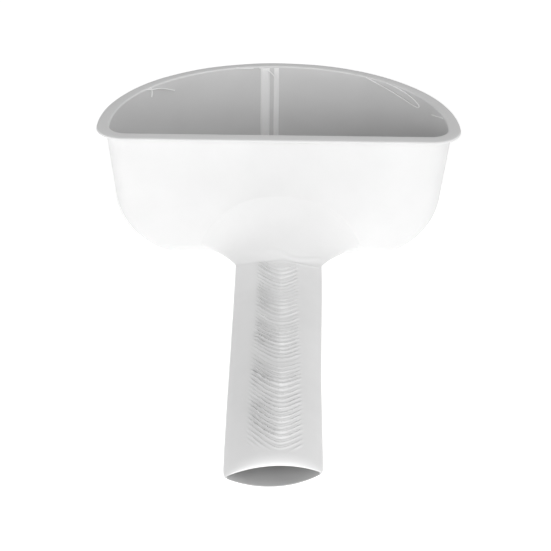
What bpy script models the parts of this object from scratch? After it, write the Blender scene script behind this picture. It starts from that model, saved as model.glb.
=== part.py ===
"""Bedpan: a half-round basin with a flat front wall and a long, flat, hollow grip handle.

Frame: +Z is up and z = 0 is the surface the pan stands on. The handle runs out along -Y.
The origin is the centre of the basin's flat base. Units are metres.
"""
import math

import bmesh
import bpy

MM = 0.001
FIT_GAP = 0.3 * MM  # left between pieces that are bonded to each other

# Basin
PAN_HEIGHT = 91 * MM  # top edge of the wall, under the rim
WALL = 2.5 * MM
RIM_WIDTH = 240 * MM
RIM_REACH = 6 * MM  # how far the rim stands out from the wall
RIM_THICKNESS = 2.2 * MM
RIM_FRONT_Y = -48 * MM
WIDEST_LINE = 20 * MM  # distance of the widest line behind the rim's front edge
BACK_RATIO = 0.9  # depth of the rounded back over the half-width
SIDE_DRAFT = math.radians(7.3)
FRONT_DRAFT = math.radians(4.4)
SIDE_FILLET = 50 * MM
FRONT_FILLET = 11 * MM
LEAST_CORNER = 5 * MM  # plan radius of the front corners where the fillet has eaten into them
RIM_CROWDING = 0.1  # share by which the rim narrows at the back
TRIM_HEIGHT = 3 * MM  # wall drawn above its top edge and then cut off level

# Handle: a pointed-oval tube in an upper and a lower half, flat at its root and fuller at its mouth
MOUTH_Y = -311.5 * MM
MOUTH_SKEW = 0.1  # the mouth's plane is yawed: its left side reaches further
SKEW_FADE = 60 * MM  # length over which the yaw dies out
HANDLE_HALF_WIDTH = 28.2 * MM
HANDLE_ROOT_TOP = 11.5 * MM
HANDLE_CREST = 20 * MM
HANDLE_MOUTH_TOP = 19.2 * MM
CREST_SHARE = 0.7  # where the crest lies, from root to mouth
ROOT_CORNER_Z = 8 * MM
MOUTH_CORNER_Z = 9.4 * MM
HANDLE_WALL = 2 * MM
HANDLE_EDGE_LAND = 1.6 * MM  # bonding width where the halves meet
HANDLE_ROOT_Y = -31 * MM  # reaches under the front fillet
LIP_LENGTH = 8 * MM
LIP_TOP_WALL = 3 * MM
LIP_ROLL_LENGTH = 6 * MM

# Blend between the front wall and the handle
NECK_LENGTH = 26 * MM
NECK_FLARE = 26 * MM
NECK_RISE = 40 * MM
NECK_TAPER_SHARE = 0.75  # weight of the even taper; the rest flares out close to the wall
NECK_TAPER_POWER = 1.3
NECK_LIP = 1.2 * MM
NECK_SIDE_LIP = 3 * MM
NECK_TOP_GAP = 0.5 * MM  # wider than FIT_GAP, to clear the raised edge of the upper half
NECK_SIDE_GAP = 1.5 * MM
NECK_FOOT_Z = 3 * MM
NECK_BACK_Y = -30 * MM

# Moulding seam inside the back wall: a broad and a narrow ridge on a thin strip
SEAM_CENTRE_X = -6.5 * MM
SEAM_TOP_Z = 90.5 * MM
SEAM_FOOT_Z = 22 * MM
SEAM_PROFILE = ((-6.0, 0.5), (-5.5, 1.2), (-1.3, 1.2), (-0.7, 0.5),
                (3.0, 0.5), (3.4, 1.2), (5.4, 1.2), (6.0, 0.5))  # across, height, in mm

CORNER_STEPS = 5
BACK_STEPS = 30
FRONT_STEPS = 6
SIDE_FILLET_STEPS = 9
FRONT_FILLET_STEPS = 4
LEAST_LEVEL_GAP = 0.4 * MM  # closer levels of the two fillets are merged
LENS_STEPS = 14
EDGE_STEPS = 4
NECK_STEPS = 7
HANDLE_STATIONS = 11
SEAM_STEPS = 9
SLOPE_STEP = 0.1 * MM  # height step over which the back wall's slope is measured


def clear_scene():
    for old in list(bpy.data.objects):
        bpy.data.objects.remove(old, do_unlink=True)


def new_collection(name):
    collection = bpy.data.collections.new(name)
    bpy.context.scene.collection.children.link(collection)
    return collection


def plastic(name, colour, roughness):
    material = bpy.data.materials.new(name)
    material.use_nodes = True
    shader = material.node_tree.nodes["Principled BSDF"]
    shader.inputs["Base Color"].default_value = (*colour, 1.0)
    shader.inputs["Roughness"].default_value = roughness
    shader.inputs["Metallic"].default_value = 0.0
    return material


def mesh_object(name, collection, mesh_data):
    """Turn a bmesh into an object with outward normals."""
    bmesh.ops.recalc_face_normals(mesh_data, faces=mesh_data.faces)
    mesh = bpy.data.meshes.new(name)
    mesh_data.to_mesh(mesh)
    mesh_data.free()
    piece = bpy.data.objects.new(name, mesh)
    collection.objects.link(piece)
    return piece


def loft(name, collection, rings, wrap=False, cap_last=True):
    """Skin closed rings of equal point counts; wrap joins the last ring to the first."""
    work = bmesh.new()
    loops = [[work.verts.new(point) for point in ring] for ring in rings]
    pairs = list(zip(loops, loops[1:]))
    if wrap:
        pairs.append((loops[-1], loops[0]))
    for lower, upper in pairs:
        for here in range(len(lower)):
            there = (here + 1) % len(lower)
            work.faces.new((lower[here], lower[there], upper[there], upper[here]))
    if not wrap:
        work.faces.new(loops[0])
        if cap_last:
            work.faces.new(loops[-1])
    return mesh_object(name, collection, work)


def box(name, collection, low, high):
    work = bmesh.new()
    bmesh.ops.create_cube(work, size=1.0)
    size = [top - bottom for bottom, top in zip(low, high)]
    centre = [(top + bottom) / 2 for bottom, top in zip(low, high)]
    bmesh.ops.scale(work, verts=work.verts, vec=size)
    bmesh.ops.translate(work, verts=work.verts, vec=centre)
    return mesh_object(name, collection, work)


def cut(piece, cutter):
    cutter.display_type = "WIRE"
    cutter.hide_render = True
    modifier = piece.modifiers.new("cut_" + cutter.name, "BOOLEAN")
    modifier.operation = "DIFFERENCE"
    modifier.solver = "EXACT"
    modifier.object = cutter


def finish(piece, material, sharp_angle=35.0):
    piece.data.materials.append(material)
    piece.data.shade_smooth()
    piece.data.set_sharp_from_angle(angle=math.radians(sharp_angle))


# ---- Basin ----

def d_outline(half_width, front_y, widest_y, back_y):
    """Points of a D: straight front, two round corners and a half-oval back."""
    corner = widest_y - front_y
    points = []
    for step in range(CORNER_STEPS):
        turn = math.pi / 2 * (step / CORNER_STEPS - 1)
        points.append((half_width - corner + corner * math.cos(turn), widest_y + corner * math.sin(turn)))
    for step in range(BACK_STEPS):
        turn = math.pi * step / BACK_STEPS
        points.append((half_width * math.cos(turn), widest_y + (back_y - widest_y) * math.sin(turn)))
    for step in range(CORNER_STEPS):
        turn = math.pi * (1 + step / CORNER_STEPS / 2)
        points.append((corner - half_width + corner * math.cos(turn), widest_y + corner * math.sin(turn)))
    for step in range(FRONT_STEPS):
        points.append(((half_width - corner) * (2 * step / FRONT_STEPS - 1), front_y))
    return points


def inset_at(z, draft, radius):
    """Inward travel, at height z, of a drafted wall that ends in a tangent fillet on the base."""
    foot_top = radius * (1 - math.sin(draft))
    if z >= foot_top:
        return (PAN_HEIGHT - z) * math.tan(draft)
    slope = math.asin(1 - z / radius)
    return (PAN_HEIGHT - foot_top) * math.tan(draft) + radius * (math.cos(draft) - math.cos(slope))


def wall_half_width(z):
    return RIM_WIDTH / 2 - RIM_REACH - inset_at(z, SIDE_DRAFT, SIDE_FILLET)


def wall_back_y(z):
    return RIM_FRONT_Y + WIDEST_LINE + BACK_RATIO * wall_half_width(z)


def wall_ring(z, grow=0.0):
    """The basin's outer face at height z, moved outward by grow."""
    front_y = RIM_FRONT_Y + RIM_REACH + inset_at(z, FRONT_DRAFT, FRONT_FILLET) - grow
    widest_y = max(RIM_FRONT_Y + WIDEST_LINE, front_y + LEAST_CORNER)
    outline = d_outline(wall_half_width(z) + grow, front_y, widest_y, wall_back_y(z) + grow)
    return [(x, y, z) for x, y in outline]


def wall_heights(top):
    """Levels that follow both fillets, from the base up."""
    levels = {0.0, top}
    for draft, radius, steps in ((SIDE_DRAFT, SIDE_FILLET, SIDE_FILLET_STEPS),
                                 (FRONT_DRAFT, FRONT_FILLET, FRONT_FILLET_STEPS)):
        for step in range(steps):
            slope = draft + (math.pi / 2 - draft) * step / steps
            levels.add(radius * (1 - math.sin(slope)))
    ordered = sorted(levels)
    spaced = [ordered[0]]
    for level in ordered[1:]:
        if level - spaced[-1] > LEAST_LEVEL_GAP:
            spaced.append(level)
    return spaced


def build_pan(collection, cutters):
    over_top = PAN_HEIGHT + TRIM_HEIGHT
    pan = loft("pan_shell", collection, [wall_ring(z) for z in wall_heights(over_top)], cap_last=False)
    solidify = pan.modifiers.new("wall", "SOLIDIFY")
    solidify.thickness = WALL
    solidify.offset = -1.0
    solidify.use_even_offset = True
    reach = RIM_WIDTH
    cut(pan, box("cut_pan_top", cutters, (-reach, -reach, PAN_HEIGHT), (reach, reach, 2 * PAN_HEIGHT)))
    finish(pan, plastic("pan_white", (0.86, 0.86, 0.86), 0.35))


def rim_ring(outward, z):
    """The rim's outline at a distance outward from the wall's outer face."""
    half_width = RIM_WIDTH / 2 - RIM_REACH + outward
    widest_y = RIM_FRONT_Y + WIDEST_LINE - RIM_CROWDING * outward
    outline = d_outline(half_width, RIM_FRONT_Y + RIM_REACH - outward, widest_y,
                        widest_y + BACK_RATIO * half_width)
    return [(x, y, z) for x, y in outline]


def build_rim(collection):
    radius = RIM_THICKNESS / 2
    middle_z = PAN_HEIGHT + FIT_GAP + radius
    profile = [(-WALL, middle_z + radius), (-WALL, middle_z - radius)]
    for step in range(EDGE_STEPS + 1):
        turn = math.pi * (step / EDGE_STEPS - 0.5)
        outward = RIM_REACH - radius + radius * math.cos(turn)
        profile.append((outward, middle_z + radius * math.sin(turn)))
    rim = loft("rim_flange", collection, [rim_ring(outward, z) for outward, z in profile], wrap=True)
    finish(rim, plastic("rim_white", (0.84, 0.84, 0.84), 0.32))


def build_seam(collection):
    """A ridged strip that follows the inner face of the back wall."""
    def place(x, depth, z):
        half_width = wall_half_width(z)
        bow = math.sqrt(1 - (x / half_width) ** 2)
        y = wall_back_y(z) - BACK_RATIO * half_width * (1 - bow)
        slope = (wall_back_y(z + SLOPE_STEP) - wall_back_y(z - SLOPE_STEP)) / (2 * SLOPE_STEP)
        length = math.hypot(1.0, slope)
        return (x, y - depth / length, z + depth * slope / length)

    behind = WALL + FIT_GAP
    rings = []
    for step in range(SEAM_STEPS + 1):
        z = SEAM_TOP_Z + (SEAM_FOOT_Z - SEAM_TOP_Z) * step / SEAM_STEPS
        front = [(SEAM_CENTRE_X + across * MM, behind + height * MM) for across, height in SEAM_PROFILE]
        back = [(x, behind) for x, _ in reversed(front)]
        rings.append([place(x, depth, z) for x, depth in front + back])
    seam = loft("back_wall_seam", collection, rings)
    finish(seam, plastic("seam_white", (0.88, 0.88, 0.88), 0.4))


# ---- Handle ----

def arch(half_width, edge_z, crown_z):
    """Points of the circular arc from the right edge over the crown to the left edge."""
    rise = crown_z - edge_z
    radius = (half_width ** 2 + rise ** 2) / (2 * rise)
    half_angle = math.asin(half_width / radius)
    points = []
    for step in range(LENS_STEPS + 1):
        turn = half_angle * (1 - 2 * step / LENS_STEPS)
        points.append((radius * math.sin(turn), crown_z - radius * (1 - math.cos(turn))))
    return points


def lens(half_width, corner_z, top_z, bottom_z):
    """Closed pointed oval, counter-clockwise from the right corner."""
    over = arch(half_width, corner_z, top_z)
    under = arch(half_width, corner_z, bottom_z)
    return over + under[-2:0:-1]


def neck_end_y():
    wall_y = RIM_FRONT_Y + RIM_REACH + inset_at(HANDLE_ROOT_TOP, FRONT_DRAFT, FRONT_FILLET)
    return wall_y - NECK_LENGTH


def share_along(y):
    """0 at the handle's root and 1 at its mouth."""
    return min(max((neck_end_y() - y) / (neck_end_y() - MOUTH_Y), 0.0), 1.0)


def crown_at(y):
    """Height of the tube's top line: it rises from the root to a crest and dips a little to the mouth."""
    share = share_along(y)
    if share < CREST_SHARE:
        climb = share / CREST_SHARE
        return HANDLE_ROOT_TOP + (HANDLE_CREST - HANDLE_ROOT_TOP) * climb * climb * (3 - 2 * climb)
    fall = (share - CREST_SHARE) / (1 - CREST_SHARE)
    return HANDLE_CREST - (HANDLE_CREST - HANDLE_MOUTH_TOP) * fall * fall


def corner_at(y):
    return ROOT_CORNER_Z + (MOUTH_CORNER_Z - ROOT_CORNER_Z) * share_along(y)


def skewed(outline, y):
    """Stand an (x, z) outline at y, yawed near the mouth."""
    fade = max(1 - (y - MOUTH_Y) / SKEW_FADE, 0.0)
    return [(x, y + MOUTH_SKEW * fade * x, z) for x, z in outline]


def half_shell_outline(side, y):
    """Crescent section of the upper (side 1) or lower (side -1) half of the tube."""
    edge_z = corner_at(y) + side * FIT_GAP / 2
    crown_z = crown_at(y) if side > 0 else 0.0
    outer = arch(HANDLE_HALF_WIDTH, edge_z, crown_z)
    inner = arch(HANDLE_HALF_WIDTH - HANDLE_EDGE_LAND, edge_z, crown_z - side * HANDLE_WALL)
    return outer + inner[::-1]


def build_handle(collection, pan_cutter):
    front_y = MOUTH_Y + LIP_LENGTH + FIT_GAP
    length = neck_end_y() - front_y
    stations = [front_y + length * step / HANDLE_STATIONS for step in range(HANDLE_STATIONS + 1)]
    stations.append(HANDLE_ROOT_Y)
    for name, side, grey in (("handle_upper_shell", 1, 0.85), ("handle_lower_shell", -1, 0.83)):
        shell = loft(name, collection, [skewed(half_shell_outline(side, y), y) for y in stations])
        cut(shell, pan_cutter)
        finish(shell, plastic(name + "_white", (grey, grey, grey), 0.34))


def lip_section(y, inset):
    """Section of the lip: 0 is the outer face and 1 the opening."""
    return lens(HANDLE_HALF_WIDTH - HANDLE_EDGE_LAND * inset, corner_at(y),
                crown_at(y) - LIP_TOP_WALL * inset, HANDLE_WALL * inset)


def build_mouth_lip(collection):
    """Rounded bead that rings the open end of the tube; its outer side rolls over gently."""
    rings = []
    turns = 2 * EDGE_STEPS
    for step in range(turns + 1):
        turn = math.pi * step / turns
        reach = LIP_ROLL_LENGTH if turn < math.pi / 2 else HANDLE_WALL / 2
        y = MOUTH_Y + reach * (1 - math.sin(turn))
        rings.append(skewed(lip_section(y, (1 - math.cos(turn)) / 2), y))
    back_y = MOUTH_Y + LIP_LENGTH
    rings.append(skewed(lip_section(back_y, 1.0), back_y))
    rings.append(skewed(lip_section(back_y, 0.0), back_y))
    lip = loft("handle_mouth_lip", collection, rings, wrap=True)
    finish(lip, plastic("lip_white", (0.9, 0.9, 0.9), 0.3))


def neck_share(along):
    """Growth of the neck's section: 1 at the wall, 0 where it runs out on the handle."""
    left = 1 - along
    flare = 1 - math.sqrt(1 - left * left)
    return NECK_TAPER_SHARE * left ** NECK_TAPER_POWER + (1 - NECK_TAPER_SHARE) * flare


def build_neck(collection, cutters, pan_cutter):
    """Funnel-shaped blend that carries the front wall out over the handle's root."""
    sections = [(NECK_BACK_Y, 1.0)]
    for step in range(NECK_STEPS + 1):
        along = step / NECK_STEPS
        sections.append((neck_end_y() + NECK_LENGTH * (1 - along), neck_share(along)))
    rings = []
    for y, share in sections:
        outline = lens(HANDLE_HALF_WIDTH + NECK_SIDE_LIP + NECK_FLARE * share, corner_at(y),
                       crown_at(y) + NECK_LIP + NECK_RISE * share, -NECK_LIP)
        rings.append([(x, y, z) for x, z in outline])
    neck = loft("neck_fillet", collection, rings)
    bore_rings = []
    for y in (neck_end_y() - NECK_LENGTH, neck_end_y() - NECK_LENGTH / 2, neck_end_y(), 0.0):
        around = lens(HANDLE_HALF_WIDTH + NECK_SIDE_GAP, corner_at(y), crown_at(y) + NECK_TOP_GAP, -FIT_GAP)
        bore_rings.append([(x, y, z) for x, z in around])
    cut(neck, loft("cut_neck_bore", cutters, bore_rings))
    cut(neck, pan_cutter)
    side = RIM_WIDTH
    cut(neck, box("cut_neck_foot", cutters, (-side, MOUTH_Y, -side), (side, 0.0, NECK_FOOT_Z)))
    finish(neck, plastic("neck_white", (0.87, 0.87, 0.87), 0.36))


def build():
    clear_scene()
    parts = new_collection("bedpan")
    cutters = new_collection("cutters")
    heights = wall_heights(PAN_HEIGHT)
    pan_cutter = loft("cut_pan_body", cutters, [wall_ring(z, FIT_GAP) for z in heights])
    build_pan(parts, cutters)
    build_rim(parts)
    build_seam(parts)
    build_handle(parts, pan_cutter)
    build_mouth_lip(parts)
    build_neck(parts, cutters, pan_cutter)


build()
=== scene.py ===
"""Looks of the bedpan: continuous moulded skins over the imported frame, white plastic, pale studio."""
import math

import bmesh
import bpy
from mathutils import Matrix, Vector, noise


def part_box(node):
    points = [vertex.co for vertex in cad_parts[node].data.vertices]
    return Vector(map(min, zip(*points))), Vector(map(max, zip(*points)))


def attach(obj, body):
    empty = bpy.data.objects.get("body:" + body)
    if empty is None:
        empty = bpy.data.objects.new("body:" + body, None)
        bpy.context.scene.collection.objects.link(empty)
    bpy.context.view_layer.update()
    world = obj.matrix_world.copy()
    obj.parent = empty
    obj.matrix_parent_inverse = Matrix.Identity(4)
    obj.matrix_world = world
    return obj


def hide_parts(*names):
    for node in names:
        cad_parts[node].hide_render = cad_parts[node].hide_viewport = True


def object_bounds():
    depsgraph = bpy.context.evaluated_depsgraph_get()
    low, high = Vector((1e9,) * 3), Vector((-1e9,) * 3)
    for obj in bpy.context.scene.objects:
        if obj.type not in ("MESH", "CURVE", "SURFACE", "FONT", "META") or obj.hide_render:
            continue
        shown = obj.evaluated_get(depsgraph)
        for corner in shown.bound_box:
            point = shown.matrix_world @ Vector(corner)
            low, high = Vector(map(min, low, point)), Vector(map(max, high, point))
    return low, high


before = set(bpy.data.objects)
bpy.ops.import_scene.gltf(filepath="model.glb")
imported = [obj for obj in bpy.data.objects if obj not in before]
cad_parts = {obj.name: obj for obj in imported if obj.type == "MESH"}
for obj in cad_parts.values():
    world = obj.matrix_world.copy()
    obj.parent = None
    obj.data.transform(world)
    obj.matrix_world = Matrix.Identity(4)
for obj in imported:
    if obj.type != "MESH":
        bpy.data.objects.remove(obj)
CAD_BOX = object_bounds()
MM = 0.001

# Places read from the frame
RIM_LOW, RIM_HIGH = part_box("rim_flange")
LIP_LOW, LIP_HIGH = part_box("handle_mouth_lip")
SHELL_LOW, SHELL_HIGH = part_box("pan_shell")
RIM_HALF_WIDTH = (RIM_HIGH[0] - RIM_LOW[0]) / 2
RIM_FRONT_Y = RIM_LOW[1]
RIM_TOP = RIM_HIGH[2]
RIM_UNDERSIDE = RIM_LOW[2]
WALL_TOP = SHELL_HIGH[2]
TOP_HALF_WIDTH = (SHELL_HIGH[0] - SHELL_LOW[0]) / 2
RIM_REACH = RIM_HALF_WIDTH - TOP_HALF_WIDTH
HANDLE_HALF_WIDTH = (LIP_HIGH[0] - LIP_LOW[0]) / 2

# Shape of the moulding, as in the CAD
WALL = 2.5 * MM
WIDEST_Y = RIM_FRONT_Y + 20 * MM
BACK_RATIO = 0.9
SIDE_DRAFT = math.radians(7.3)
FRONT_DRAFT = math.radians(4.4)
SIDE_FILLET = 50 * MM
FRONT_FILLET = 11 * MM
LEAST_CORNER = 5 * MM
RIM_CROWDING = 0.1
MOUTH_SKEW = 0.1
SKEW_FADE = 60 * MM
MOUTH_Y = LIP_LOW[1] + MOUTH_SKEW * HANDLE_HALF_WIDTH
HANDLE_ROOT_TOP = 11.5 * MM
HANDLE_CREST = 20 * MM
HANDLE_MOUTH_TOP = 19.2 * MM
CREST_SHARE = 0.7
ROOT_CORNER_Z = 8 * MM
MOUTH_CORNER_Z = 9.4 * MM
HANDLE_WALL = 2 * MM
HANDLE_EDGE_LAND = 1.2 * MM
LIP_TOP_WALL = 3.8 * MM
LIP_ROLL_LENGTH = 9 * MM
NECK_LENGTH = 26 * MM
NECK_FLARE = 26 * MM
NECK_RISE = 40 * MM
MOUTH_LEFT_SPREAD = 0.06  # the left edge stands out a little at the mouth
ROOT_RIGHT_SPREAD = 0.08  # and the right edge at the root
NECK_TAPER_SHARE = 0.75  # weight of the even taper; the rest flares out close to the wall
NECK_TAPER_POWER = 1.3
SEAM_CENTRE_X = -6.5 * MM


def smooth_step(low, high, value):
    share = min(max((value - low) / (high - low), 0.0), 1.0)
    return share * share * (3 - 2 * share)


def bump_curve(distance, width):
    return math.exp(-(distance / width) ** 2)


def wander(point, scale, seed):
    """Smooth noise between -1 and 1."""
    return noise.noise(Vector(point) * scale + Vector((seed, 2 * seed, -seed)))


# ---- Materials ----

def moulded_plastic(name, colour, roughness, painted_light_and_shade_along_y=()):
    """White satin plastic: faint clouding, fine grain and patches of different gloss.

    Where given, (Y place, grey) pairs, highest Y first, scale the colour: painted shade and painted light
    that change along Y.
    """
    material = bpy.data.materials.new(name)
    material.use_nodes = True
    nodes = material.node_tree.nodes
    links = material.node_tree.links
    shader = nodes["Principled BSDF"]
    shader.inputs["IOR"].default_value = 1.49
    shader.inputs["Specular IOR Level"].default_value = 0.35
    place = nodes.new("ShaderNodeTexCoord")

    clouds = nodes.new("ShaderNodeTexNoise")
    clouds.inputs["Scale"].default_value = 22.0
    clouds.inputs["Detail"].default_value = 6.0
    clouds.inputs["Roughness"].default_value = 0.6
    links.new(place.outputs["Object"], clouds.inputs["Vector"])
    tint = nodes.new("ShaderNodeValToRGB")
    tint.color_ramp.elements[0].position = 0.3
    tint.color_ramp.elements[1].position = 0.7
    tint.color_ramp.elements[0].color = (*[value * 0.955 for value in colour], 1.0)
    tint.color_ramp.elements[1].color = (*colour, 1.0)
    links.new(clouds.outputs["Fac"], tint.inputs["Fac"])
    # Painted shade and light: a grey that changes along Y multiplies the colour.
    if painted_light_and_shade_along_y:
        start_y = painted_light_and_shade_along_y[0][0]
        end_y = painted_light_and_shade_along_y[-1][0]
        split = nodes.new("ShaderNodeSeparateXYZ")
        links.new(place.outputs["Object"], split.inputs["Vector"])
        along = nodes.new("ShaderNodeMapRange")
        along.inputs["From Min"].default_value = start_y
        along.inputs["From Max"].default_value = end_y
        links.new(split.outputs["Y"], along.inputs["Value"])
        painted_shades = nodes.new("ShaderNodeValToRGB")
        painted_shades.color_ramp.interpolation = "EASE"
        for number, (y, grey) in enumerate(painted_light_and_shade_along_y):
            share = (y - start_y) / (end_y - start_y)
            if 0 < number < len(painted_light_and_shade_along_y) - 1:
                stop = painted_shades.color_ramp.elements.new(share)
            else:
                stop = painted_shades.color_ramp.elements[0 if number == 0 else -1]
            stop.color = (grey, grey, grey, 1.0)
        links.new(along.outputs["Result"], painted_shades.inputs["Fac"])
        blend = nodes.new("ShaderNodeMix")
        blend.data_type = "RGBA"
        blend.blend_type = "MULTIPLY"
        blend.inputs["Factor"].default_value = 1.0
        links.new(tint.outputs["Color"], blend.inputs["A"])
        links.new(painted_shades.outputs["Color"], blend.inputs["B"])
        links.new(blend.outputs["Result"], shader.inputs["Base Color"])
    else:
        links.new(tint.outputs["Color"], shader.inputs["Base Color"])

    gloss = nodes.new("ShaderNodeMapRange")
    gloss.inputs["To Min"].default_value = roughness - 0.06
    gloss.inputs["To Max"].default_value = roughness + 0.08
    links.new(clouds.outputs["Fac"], gloss.inputs["Value"])
    links.new(gloss.outputs["Result"], shader.inputs["Roughness"])

    fine = nodes.new("ShaderNodeTexNoise")
    fine.inputs["Scale"].default_value = 900.0
    fine.inputs["Detail"].default_value = 3.0
    links.new(place.outputs["Object"], fine.inputs["Vector"])
    soft = nodes.new("ShaderNodeTexNoise")
    soft.inputs["Scale"].default_value = 60.0
    soft.inputs["Detail"].default_value = 2.0
    links.new(place.outputs["Object"], soft.inputs["Vector"])
    waves = nodes.new("ShaderNodeBump")
    waves.inputs["Strength"].default_value = 0.25
    waves.inputs["Distance"].default_value = 0.6 * MM
    links.new(soft.outputs["Fac"], waves.inputs["Height"])
    pits = nodes.new("ShaderNodeBump")
    pits.inputs["Strength"].default_value = 0.12
    pits.inputs["Distance"].default_value = 0.1 * MM
    links.new(fine.outputs["Fac"], pits.inputs["Height"])
    links.new(waves.outputs["Normal"], pits.inputs["Normal"])
    links.new(pits.outputs["Normal"], shader.inputs["Normal"])
    return material


# ---- Mesh helpers ----

def skin(name, rings, material, wrap=False, sharp_angle=40.0):
    """Closed surface over rings of equal point counts; wrap joins the last ring to the first."""
    work = bmesh.new()
    loops = [[work.verts.new(point) for point in ring] for ring in rings]
    pairs = list(zip(loops, loops[1:]))
    if wrap:
        pairs.append((loops[-1], loops[0]))
    for lower, upper in pairs:
        for here in range(len(lower)):
            there = (here + 1) % len(lower)
            work.faces.new((lower[here], lower[there], upper[there], upper[here]))
    if not wrap:
        work.faces.new(loops[0])
        work.faces.new(loops[-1])
    bmesh.ops.recalc_face_normals(work, faces=work.faces)
    mesh = bpy.data.meshes.new(name)
    work.to_mesh(mesh)
    work.free()
    mesh.materials.append(material)
    mesh.shade_smooth()
    mesh.set_sharp_from_angle(angle=math.radians(sharp_angle))
    piece = bpy.data.objects.new(name, mesh)
    bpy.context.scene.collection.objects.link(piece)
    return piece


def register(piece, slot, *nodes):
    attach(piece, "root")
    if nodes:
        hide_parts(*nodes)


# ---- Basin and rim in one skin ----

CORNER_STEPS = 10
BACK_STEPS = 110
FRONT_STEPS = 48
LEVEL_STEPS = 60
LEVEL_CROWDING = 1.9  # power that crowds the levels towards the floor, where the fillets are
FLOOR_SHRINKS = (0.05, 0.35, 0.65, 0.9)  # rings that close the floor, as shares of its outline
WALL_UNEVENNESS = 0.12 * MM
RIM_DIP = 0.22 * MM
RIM_ROOT_DROP = 0.9 * MM  # the rim's root starts this far below the wall's top edge
RIM_INNER_EDGE = 1.0 * MM
INNER_TOP_DROP = 0.5 * MM
ROOT_STEPS = 4
EDGE_STEPS = 8


def d_outline(half_width, front_y, widest_y, back_y):
    """Points of a D: straight front, two round corners and a half-oval back."""
    corner = widest_y - front_y
    points = []
    for step in range(CORNER_STEPS):
        turn = math.pi / 2 * (step / CORNER_STEPS - 1)
        points.append((half_width - corner + corner * math.cos(turn), widest_y + corner * math.sin(turn)))
    for step in range(BACK_STEPS):
        turn = math.pi * step / BACK_STEPS
        points.append((half_width * math.cos(turn), widest_y + (back_y - widest_y) * math.sin(turn)))
    for step in range(CORNER_STEPS):
        turn = math.pi * (1 + step / CORNER_STEPS / 2)
        points.append((corner - half_width + corner * math.cos(turn), widest_y + corner * math.sin(turn)))
    for step in range(FRONT_STEPS):
        points.append(((half_width - corner) * (2 * step / FRONT_STEPS - 1), front_y))
    return points


def inset_at(z, draft, radius, depth=0.0):
    """Inward travel from the wall's top edge, at height z, of the face depth inside the outer one."""
    if z >= radius - (radius - depth) * math.sin(draft):
        return (WALL_TOP - z) * math.tan(draft) + depth / math.cos(draft)
    centre = (WALL_TOP - radius * (1 - math.sin(draft))) * math.tan(draft) + radius * math.cos(draft)
    reach = max((radius - depth) ** 2 - (radius - z) ** 2, 0.0)
    return centre - math.sqrt(reach)


def wall_ring(z, depth=0.0, shrink=1.0):
    """Ring of the basin's wall; shrink below 1 draws it in towards the middle of the floor."""
    half_width = TOP_HALF_WIDTH - inset_at(z, SIDE_DRAFT, SIDE_FILLET, depth)
    front_y = RIM_FRONT_Y + RIM_REACH + inset_at(z, FRONT_DRAFT, FRONT_FILLET, depth)
    widest_y = max(WIDEST_Y, front_y + LEAST_CORNER)
    outline = d_outline(half_width, front_y, widest_y, WIDEST_Y + BACK_RATIO * half_width)
    unevenness = WALL_UNEVENNESS if shrink == 1.0 else 0.0
    ring = []
    for x, y in outline:
        swell = unevenness * wander((x, y, z), 28.0, 3.0)
        away = Vector((x, y, 0.0)).normalized()
        ring.append((shrink * x - swell * away.x, shrink * y - swell * away.y, z))
    return ring


def rim_ring(outward, z):
    """Ring of the rim at a distance outward from the wall's outer face; its edge wavers slightly."""
    half_width = TOP_HALF_WIDTH + outward
    widest_y = WIDEST_Y - RIM_CROWDING * outward
    outline = d_outline(half_width, RIM_FRONT_Y + RIM_REACH - outward, widest_y,
                        widest_y + BACK_RATIO * half_width)
    ring = []
    for x, y in outline:
        dip = RIM_DIP * (wander((x, y, 0.0), 35.0, 7.0) - 1) * max(outward, 0.0) / RIM_REACH
        ring.append((x, y, z + dip))
    return ring


def fillet_heights(floor_z, top_z):
    """Heights from the floor to the top, close together in the fillets."""
    heights = [floor_z]
    for step in range(1, LEVEL_STEPS + 1):
        share = step / LEVEL_STEPS
        heights.append(floor_z + (top_z - floor_z) * share ** LEVEL_CROWDING)
    return heights


def build_basin():
    rings = [wall_ring(0.0, 0.0, share) for share in FLOOR_SHRINKS]
    root_z = WALL_TOP - RIM_ROOT_DROP
    rings += [wall_ring(z) for z in fillet_heights(0.0, root_z)]
    root_radius = RIM_UNDERSIDE - root_z
    for step in range(1, ROOT_STEPS + 1):
        turn = math.pi / 2 * step / ROOT_STEPS
        rings.append(rim_ring(root_radius * (1 - math.cos(turn)), root_z + root_radius * math.sin(turn)))
    edge = (RIM_TOP - RIM_UNDERSIDE) / 2
    rings.append(rim_ring(RIM_REACH - 2.4 * edge, RIM_UNDERSIDE))
    for step in range(EDGE_STEPS + 1):
        turn = math.pi * (step / EDGE_STEPS - 0.5)
        outward = RIM_REACH - edge + edge * math.cos(turn)
        rings.append(rim_ring(outward, RIM_TOP - edge + edge * math.sin(turn)))
    rings.append(rim_ring(RIM_REACH * 0.35, RIM_TOP))
    rings.append(rim_ring(0.0, RIM_TOP))
    for step in range(ROOT_STEPS + 1):
        turn = math.pi / 2 * step / ROOT_STEPS
        outward = RIM_INNER_EDGE - WALL - RIM_INNER_EDGE * math.sin(turn)
        rings.append(rim_ring(outward, RIM_TOP - RIM_INNER_EDGE + RIM_INNER_EDGE * math.cos(turn)))
    inner_top = WALL_TOP - INNER_TOP_DROP
    inner_start = len(rings) - 1
    rings += [wall_ring(z, WALL) for z in reversed(fillet_heights(WALL, inner_top))]
    rings += [wall_ring(WALL, WALL, share) for share in reversed(FLOOR_SHRINKS)]
    basin = skin("basin_skin", rings, moulded_plastic("basin_plastic", (0.77, 0.77, 0.77), 0.38))
    # Painted shade: the inner faces get a darker grey than the outside, for the shade that lies inside
    # the basin.
    basin.data.materials.append(moulded_plastic("basin_inside_painted_shade", (0.68, 0.68, 0.68), 0.42))
    for face in basin.data.polygons:
        if face.index >= inner_start * len(rings[0]):
            face.material_index = 1
    register(basin, "pan_white", "pan_shell", "rim_flange")


# ---- Seam ridges inside the back wall ----

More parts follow.
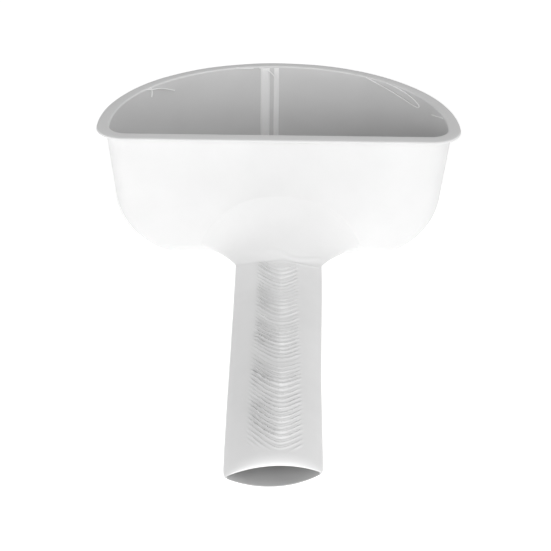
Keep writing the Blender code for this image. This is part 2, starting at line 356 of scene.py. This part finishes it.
SEAM_TOP = 92.3  # in millimetres
SEAM_DROP = 74.3
SEAM_STEPS = 60
SEAM_ACROSS_STEPS = 26
SEAM_HALF_SPAN = 8.5 * MM
SEAM_BACKING = 0.8 * MM  # how deep the strip is set into the wall
SEAM_SINK = 0.12 * MM  # its edges run out below the inner face
SLOPE_STEP = 0.2 * MM  # height step over which the wall's slope is measured


def build_seam():
    """Two soft vertical ridges, a broad and a narrow one, that grow out of the inner face."""
    rings = []
    for step in range(SEAM_STEPS + 1):
        z = (SEAM_TOP - SEAM_DROP * step / SEAM_STEPS) * MM
        half_width = TOP_HALF_WIDTH - inset_at(z, SIDE_DRAFT, SIDE_FILLET, WALL)
        nearby = TOP_HALF_WIDTH - inset_at(z + SLOPE_STEP, SIDE_DRAFT, SIDE_FILLET, WALL)
        slope = BACK_RATIO * (nearby - half_width) / SLOPE_STEP
        length = math.hypot(1.0, slope)
        fade = smooth_step(-1, 2, step) * smooth_step(SEAM_STEPS, SEAM_STEPS - 8, step)
        front = []
        back = []
        for place in range(SEAM_ACROSS_STEPS + 1):
            across = SEAM_HALF_SPAN * (2 * place / SEAM_ACROSS_STEPS - 1)
            x = SEAM_CENTRE_X + across
            y = WIDEST_Y + BACK_RATIO * half_width * math.sqrt(1 - (x / half_width) ** 2)
            broad = 0.95 * MM * smooth_step(3.4 * MM, 2.2 * MM, abs(across + 3.2 * MM))
            narrow = 0.8 * MM * bump_curve(across - 4.6 * MM, 1.3 * MM)
            height = fade * (broad + narrow) * (1 + 0.15 * wander((x, 0.0, z), 70.0, 5.0)) - SEAM_SINK
            front.append((x, y - height / length, z + height * slope / length))
            back.append((x, y + SEAM_BACKING / length, z - SEAM_BACKING * slope / length))
        rings.append(front + back[::-1])
    seam = skin("seam_ridges", rings, moulded_plastic("seam_plastic", (0.88, 0.88, 0.88), 0.34))
    register(seam, "seam_white", "back_wall_seam")


# ---- Handle in one skin: neck, tube, rounded mouth and bore ----

TOP_STEPS = 108
UNDER_STEPS = 28
TUBE_STEPS = 450
NECK_STEPS = 44
ROLL_STEPS = 12
TIP_STEPS = 4
BORE_STEPS = 60
CORNER_EASINGS = 4
TIP_INSET = 0.8  # how far the roll closes in before the tip turns under
CRESCENT_PITCH = 5.1 * MM
CRESCENT_HEIGHT = 0.74 * MM
CRESCENT_CENTRE_X = 2.6 * MM
RIPPLE_HEIGHT = 0.5 * MM
SKIN_UNEVENNESS = 0.15 * MM
BORE_UNEVENNESS = 0.55 * MM
LEAST_HANDLE_Z = 0.02 * MM
ROOT_WALL_Y = RIM_FRONT_Y + RIM_REACH + inset_at(HANDLE_ROOT_TOP, FRONT_DRAFT, FRONT_FILLET)
NECK_END_Y = ROOT_WALL_Y - NECK_LENGTH


def arch(half_width, edge_z, crown_z, steps):
    """Circular arc from the right edge over the crown to the left edge, denser towards the edges."""
    rise = crown_z - edge_z
    radius = (half_width ** 2 + rise ** 2) / (2 * rise)
    half_angle = math.asin(half_width / radius)
    points = []
    for step in range(steps + 1):
        even = 1 - 2 * step / steps
        turn = half_angle * (0.75 * even + 0.25 * math.sin(math.pi / 2 * even))
        points.append((radius * math.sin(turn), crown_z - radius * (1 - math.cos(turn))))
    return points


def pointed_oval(half_width, corner_z, top_z, bottom_z):
    """Oval of two arcs whose side corners are eased."""
    over = arch(half_width, corner_z, top_z, TOP_STEPS)
    under = arch(half_width, corner_z, bottom_z, UNDER_STEPS)
    points = over + under[-2:0:-1]
    for _ in range(CORNER_EASINGS):
        count = len(points)
        points = [((points[i - 1][0] + 2 * points[i][0] + points[(i + 1) % count][0]) / 4,
                   (points[i - 1][1] + 2 * points[i][1] + points[(i + 1) % count][1]) / 4)
                  for i in range(count)]
    return points


def share_along(y):
    return min(max((NECK_END_Y - y) / (NECK_END_Y - MOUTH_Y), 0.0), 1.0)


def crown_at(y):
    """Height of the tube's top line: it rises from the root to a crest and dips a little to the mouth."""
    share = share_along(y)
    if share < CREST_SHARE:
        return HANDLE_ROOT_TOP + (HANDLE_CREST - HANDLE_ROOT_TOP) * smooth_step(0.0, CREST_SHARE, share)
    fall = (share - CREST_SHARE) / (1 - CREST_SHARE)
    return HANDLE_CREST - (HANDLE_CREST - HANDLE_MOUTH_TOP) * fall * fall


def crescent_height(x, y):
    """Fine U-shaped flow ridges down the middle of the handle, their low points towards the mouth."""
    towards_mouth = smooth_step(NECK_END_Y, MOUTH_Y, y)
    across = x - CRESCENT_CENTRE_X
    arms = 18.0 * MM * (abs(across) / (15.4 * MM)) ** 1.6
    left_span = (15.0 + 3.0 * towards_mouth) * MM
    right_span = (10.5 + 2.0 * towards_mouth) * MM
    drift = 0.45 * wander((0.4 * x, y - arms, 0.0), 38.0, 11.0)
    drift += 0.12 * wander((x, y, 0.0), 120.0, 17.0)
    phase = (y - arms) / CRESCENT_PITCH + drift
    wave = phase % 1.0
    ridge = bump_curve(wave - 0.5, 0.13) - 0.6 * bump_curve(wave - 0.72, 0.12)
    finer = 0.45 * bump_curve((1.9 * phase) % 1.0 - 0.5, 0.2)
    order = math.floor(phase)
    weight = max(0.95 + 0.9 * wander((0.0, order * 0.61, 0.0), 2.3, 13.0), 0.35)
    weight *= 1 + 0.35 * wander((x, y, 0.0), 55.0, 19.0)
    start = smooth_step(NECK_END_Y + 1 * MM, NECK_END_Y - 12 * MM, y - 0.3 * arms)
    end = smooth_step(MOUTH_Y + 8 * MM, MOUTH_Y + 14 * MM, y - 0.4 * arms)
    span = left_span if across < 0 else right_span
    side = smooth_step(1.15 * span, 0.85 * span, abs(across))
    return CRESCENT_HEIGHT * (ridge + finer) * weight * start * end * side


def neck_ripple(x, y):
    """Wavering flow lines where the neck runs out on the handle, stronger on the right."""
    total = 0.0
    for offset, swing, seed in ((-1.5, 1.6, 1.0), (4.5, 2.0, 2.4)):
        line_y = NECK_END_Y + offset * MM + swing * MM * math.sin(x / (6.0 * MM) + seed)
        total += bump_curve(y - line_y, 1.1 * MM)
    return RIPPLE_HEIGHT * total * smooth_step(-16 * MM, 4 * MM, x) * smooth_step(34 * MM, 24 * MM, x)


def neck_share(along):
    """Growth of the neck's section: 1 at the wall, 0 where it runs out on the handle."""
    left = 1 - along
    flare = 1 - math.sqrt(1 - left * left)
    return NECK_TAPER_SHARE * left ** NECK_TAPER_POWER + (1 - NECK_TAPER_SHARE) * flare


def handle_ring(y, inset, share=0.0, top_wall=HANDLE_WALL):
    """Section at y: inset 0 is the outer face and 1 the bore; share is its part of the neck flare."""
    corner_z = ROOT_CORNER_Z + (MOUTH_CORNER_Z - ROOT_CORNER_Z) * share_along(y)
    outline = pointed_oval(HANDLE_HALF_WIDTH - HANDLE_EDGE_LAND * inset + NECK_FLARE * share, corner_z,
                           crown_at(y) - top_wall * inset + NECK_RISE * share, HANDLE_WALL * inset)
    near_wall = smooth_step(NECK_END_Y, ROOT_WALL_Y, y)
    left_spread = 1 + MOUTH_LEFT_SPREAD * smooth_step(NECK_END_Y, MOUTH_Y, y)
    right_spread = 1 + ROOT_RIGHT_SPREAD * smooth_step(MOUTH_Y + 80 * MM, NECK_END_Y, y)
    fade = max(1 - (y - MOUTH_Y) / SKEW_FADE, 0.0)
    ring = []
    for x, z in outline:
        x *= left_spread if x < 0 else right_spread
        wall_y = RIM_FRONT_Y + RIM_REACH + inset_at(max(z, 0.0), FRONT_DRAFT, FRONT_FILLET)
        place_y = y + (wall_y + 0.6 * MM - ROOT_WALL_Y) * near_wall + MOUTH_SKEW * fade * x
        if inset == 0.0 and z > corner_z:
            away_from_edge = smooth_step(0.0, 1.5 * MM, z - corner_z)
            z += (crescent_height(x, place_y) + neck_ripple(x, place_y)) * away_from_edge
            z += SKIN_UNEVENNESS * wander((x, place_y, 0.0), 60.0, 23.0) * away_from_edge
        elif inset > 0.9:
            inside = smooth_step(0.0, 6 * MM, y - MOUTH_Y)
            z += BORE_UNEVENNESS * wander((x, place_y, z), 75.0, 29.0) * inside
        ring.append((x, place_y, max(z, LEAST_HANDLE_Z)))
    return ring


def build_handle():
    rings = []
    for step in range(NECK_STEPS + 1):
        along = step / NECK_STEPS
        rings.append(handle_ring(ROOT_WALL_Y - NECK_LENGTH * along, 0.0, neck_share(along)))
    roll_start = MOUTH_Y + LIP_ROLL_LENGTH
    for step in range(1, TUBE_STEPS + 1):
        rings.append(handle_ring(NECK_END_Y + (roll_start - NECK_END_Y) * step / TUBE_STEPS, 0.0))
    for step in range(1, ROLL_STEPS + 1):
        turn = math.pi / 2 * step / ROLL_STEPS
        y = MOUTH_Y + LIP_ROLL_LENGTH * (1 - math.sin(turn))
        rings.append(handle_ring(y, TIP_INSET * (1 - math.cos(turn)), 0.0, LIP_TOP_WALL))
    for step in range(1, TIP_STEPS + 1):
        turn = math.pi / 2 * step / TIP_STEPS
        inset = TIP_INSET + (1 - TIP_INSET) * math.sin(turn)
        y = MOUTH_Y + HANDLE_WALL / 2 * (1 - math.cos(turn))
        rings.append(handle_ring(y, inset, 0.0, LIP_TOP_WALL))
    bore_first = len(rings)
    tip_first = bore_first - TIP_STEPS - 1
    bore_start = MOUTH_Y + HANDLE_WALL / 2
    for step in range(1, BORE_STEPS + 1):
        y = bore_start + (ROOT_WALL_Y - bore_start) * step / BORE_STEPS
        top_wall = LIP_TOP_WALL + (HANDLE_WALL - LIP_TOP_WALL) * smooth_step(0, 5, step)
        rings.append(handle_ring(y, 1.0, 0.0, top_wall))
    # Painted shade and light: the handle is darker where the neck meets the wall and paler towards the
    # mouth.
    painted_shades = ((ROOT_WALL_Y + 8 * MM, 0.77), (ROOT_WALL_Y - 10 * MM, 0.79), (NECK_END_Y - 6 * MM, 0.89),
             (MOUTH_Y + 90 * MM, 0.91), (MOUTH_Y, 0.97))
    plastic = moulded_plastic("handle_plastic_painted_shade", (1.0, 1.0, 1.0), 0.36, painted_shades)
    handle = skin("handle_skin", rings, plastic, wrap=True)
    # Painted shade: the bore and the lower inside of the mouth's tip get a darker grey, for the shade
    # inside the hollow handle.
    handle.data.materials.append(moulded_plastic("bore_painted_shade", (0.62, 0.62, 0.62), 0.4))
    for face in handle.data.polygons:
        in_bore = face.index >= bore_first * len(rings[0])
        in_tip = face.index >= tip_first * len(rings[0])
        on_lower_tip = in_tip and face.center.z < MOUTH_CORNER_Z - 1 * MM
        if in_bore or on_lower_tip:
            face.material_index = 1
    register(handle, "handle_upper_shell_white", "handle_upper_shell", "handle_lower_shell",
             "handle_mouth_lip", "neck_fillet")


# ---- Fine threads of flash along the rim's inner edge ----

THREAD_RADIUS = 0.42 * MM
THREAD_SINK = 0.5 * MM  # lowers every thread into the rim's surface


def inner_rim_y(x):
    """Y of the rim's inner edge along the rounded back."""
    half_width = TOP_HALF_WIDTH - WALL
    return WIDEST_Y + BACK_RATIO * half_width * math.sqrt(max(1 - (x / half_width) ** 2, 0.0))


def build_threads():
    """Each thread is a few points: x, distance in from the back edge, depth below the rim, in mm."""
    threads = (
        ((-91, -1.5, -0.3), (-88, 1.0, 1.0), (-82, 1.5, 2.0), (-77, 1.6, 4.5), (-72, 1.4, 7.5)),
        ((-88, -1.0, -0.4), (-86, 1.2, 3.0), (-87, 1.4, 6.5)),
        ((-30, -0.5, -0.3), (-24, 0.4, 0.2), (-18, 0.2, 0.4)),
        ((-14, 0.3, 0.2), (-9, 1.0, 1.0), (-5, 1.3, 4.0), (-3, 1.5, 7.0)),
        ((60, 0.2, 0.0), (72, 1.2, 3.0), (84, 1.5, 6.0), (92, 1.8, 8.0), (96, 1.5, 7.0), (93, 1.2, 3.5),
         (84, 1.0, 0.5), (74, 0.2, -0.2)),
        ((103, 1.8, 6.0), (106, 1.4, 4.0), (109, 0.6, 1.0)),
    )
    shade = moulded_plastic("thread_plastic", (0.96, 0.96, 0.96), 0.25)
    for number, thread in enumerate(threads, 1):
        curve = bpy.data.curves.new(f"rim_thread_{number}", "CURVE")
        curve.dimensions = "3D"
        curve.bevel_depth = THREAD_RADIUS
        curve.bevel_resolution = 3
        curve.use_fill_caps = True
        spline = curve.splines.new("NURBS")
        spline.points.add(len(thread) - 1)
        spline.order_u = 3
        spline.use_endpoint_u = True
        for point, (x, inward, depth) in zip(spline.points, thread):
            y = inner_rim_y(x * MM) - inward * MM
            point.co = (x * MM, y, RIM_TOP - depth * MM - THREAD_SINK, 1.0)
        curve.materials.append(shade)
        piece = bpy.data.objects.new(f"rim_thread_{number}", curve)
        bpy.context.scene.collection.objects.link(piece)
        register(piece, "rim_white")


# ---- Studio ----

FLOOR_DROP = 0.1 * MM  # keeps the floor just clear of the flat base
TENT_GAIN = 1.85
TENT_FOCUS = 2.0  # power that gathers the tent's light in front
HORIZON_FALLOFF = 2.0
EVEN_LIGHT = 0.48
SKY_LEAN = 2.0  # overhead light comes more from the right
SKY_LEAN_START = 0.52  # and light near the horizon more from the left
LEAST_LIGHT = 0.05


def build_floor():
    work = bmesh.new()
    bmesh.ops.create_grid(work, x_segments=4, y_segments=4, size=6.0)
    mesh = bpy.data.meshes.new("studio_floor")
    work.to_mesh(mesh)
    work.free()
    floor = bpy.data.objects.new("studio_floor", mesh)
    bpy.context.scene.collection.objects.link(floor)
    floor.location.z = CAD_BOX[0][2] - FLOOR_DROP
    material = bpy.data.materials.new("pale_floor")
    material.use_nodes = True
    nodes = material.node_tree.nodes
    links = material.node_tree.links
    shader = nodes["Principled BSDF"]
    shader.inputs["Roughness"].default_value = 0.9
    shader.inputs["Specular IOR Level"].default_value = 0.1
    shader.inputs["Emission Color"].default_value = (1.0, 1.0, 1.0, 1.0)
    shader.inputs["Emission Strength"].default_value = 0.5
    paper = nodes.new("ShaderNodeTexNoise")
    paper.inputs["Scale"].default_value = 2.0
    ramp = nodes.new("ShaderNodeValToRGB")
    ramp.color_ramp.elements[0].color = (0.86, 0.86, 0.86, 1.0)
    ramp.color_ramp.elements[1].color = (0.90, 0.90, 0.90, 1.0)
    links.new(paper.outputs["Fac"], ramp.inputs["Fac"])
    links.new(ramp.outputs["Color"], shader.inputs["Base Color"])
    mesh.materials.append(material)


def build_world():
    """Soft tent: bright towards the horizon in front, dimmer overhead and behind."""
    world = bpy.data.worlds.new("light_tent")
    bpy.context.scene.world = world
    world.use_nodes = True
    nodes = world.node_tree.nodes
    links = world.node_tree.links
    background = nodes["Background"]
    background.inputs["Color"].default_value = (1.0, 1.0, 1.0, 1.0)
    place = nodes.new("ShaderNodeTexCoord")
    split = nodes.new("ShaderNodeSeparateXYZ")
    links.new(place.outputs["Generated"], split.inputs["Vector"])

    def math_node(operation, first, second):
        node = nodes.new("ShaderNodeMath")
        node.operation = operation
        for socket, value in zip(node.inputs, (first, second)):
            if isinstance(value, float):
                socket.default_value = value
            else:
                links.new(value, socket)
        return node.outputs[0]

    low = math_node("SUBTRACT", 1.0, math_node("MAXIMUM", split.outputs["Z"], 0.0))
    falloff = math_node("POWER", low, HORIZON_FALLOFF)
    front = math_node("MULTIPLY_ADD", split.outputs["Y"], -0.5)
    front.node.inputs[2].default_value = 0.5
    gathered = math_node("MULTIPLY", math_node("POWER", front, TENT_FOCUS), TENT_GAIN)
    tent = math_node("MULTIPLY", falloff, gathered)
    height = math_node("MULTIPLY", split.outputs["Z"], SKY_LEAN)
    lean = math_node("SUBTRACT", height, SKY_LEAN_START)
    side = math_node("MULTIPLY", split.outputs["X"], lean)
    total = math_node("ADD", math_node("ADD", tent, EVEN_LIGHT), side)
    links.new(math_node("MAXIMUM", total, LEAST_LIGHT), background.inputs["Strength"])


def build_light():
    data = bpy.data.lights.new("front_softbox", "AREA")
    data.shape = "RECTANGLE"
    data.size = 1.6
    data.size_y = 0.8
    data.energy = 10.0
    light = bpy.data.objects.new("front_softbox", data)
    bpy.context.scene.collection.objects.link(light)
    light.location = (-0.9, -1.9, 0.9)
    aim = Vector((0.0, -0.05, 0.05)) - light.location
    light.rotation_euler = aim.to_track_quat("-Z", "Y").to_euler()


def build_camera():
    """The object's front from 28.8 degrees above the horizon, rolled by 0.7 degrees."""
    elevation = math.radians(28.76)
    distance = 1.42
    target = Vector((-0.96 * MM, RIM_FRONT_Y - 55.65 * MM, 23.83 * MM))
    data = bpy.data.cameras.new("main_camera")
    data.sensor_width = 36.0
    data.lens = 144.35
    camera = bpy.data.objects.new("main_camera", data)
    bpy.context.scene.collection.objects.link(camera)
    camera.location = target + distance * Vector((0.0, -math.cos(elevation), math.sin(elevation)))
    look = (target - camera.location).to_track_quat("-Z", "Y").to_matrix().to_4x4()
    turned = look @ Matrix.Rotation(math.radians(0.7), 4, "Z")
    camera.rotation_euler = turned.to_euler()
    bpy.context.scene.camera = camera
    bpy.context.scene.view_settings.view_transform = "Standard"


build_basin()
build_seam()
build_handle()
build_threads()
build_floor()
build_world()
build_light()
build_camera()

bpy.context.view_layer.update()
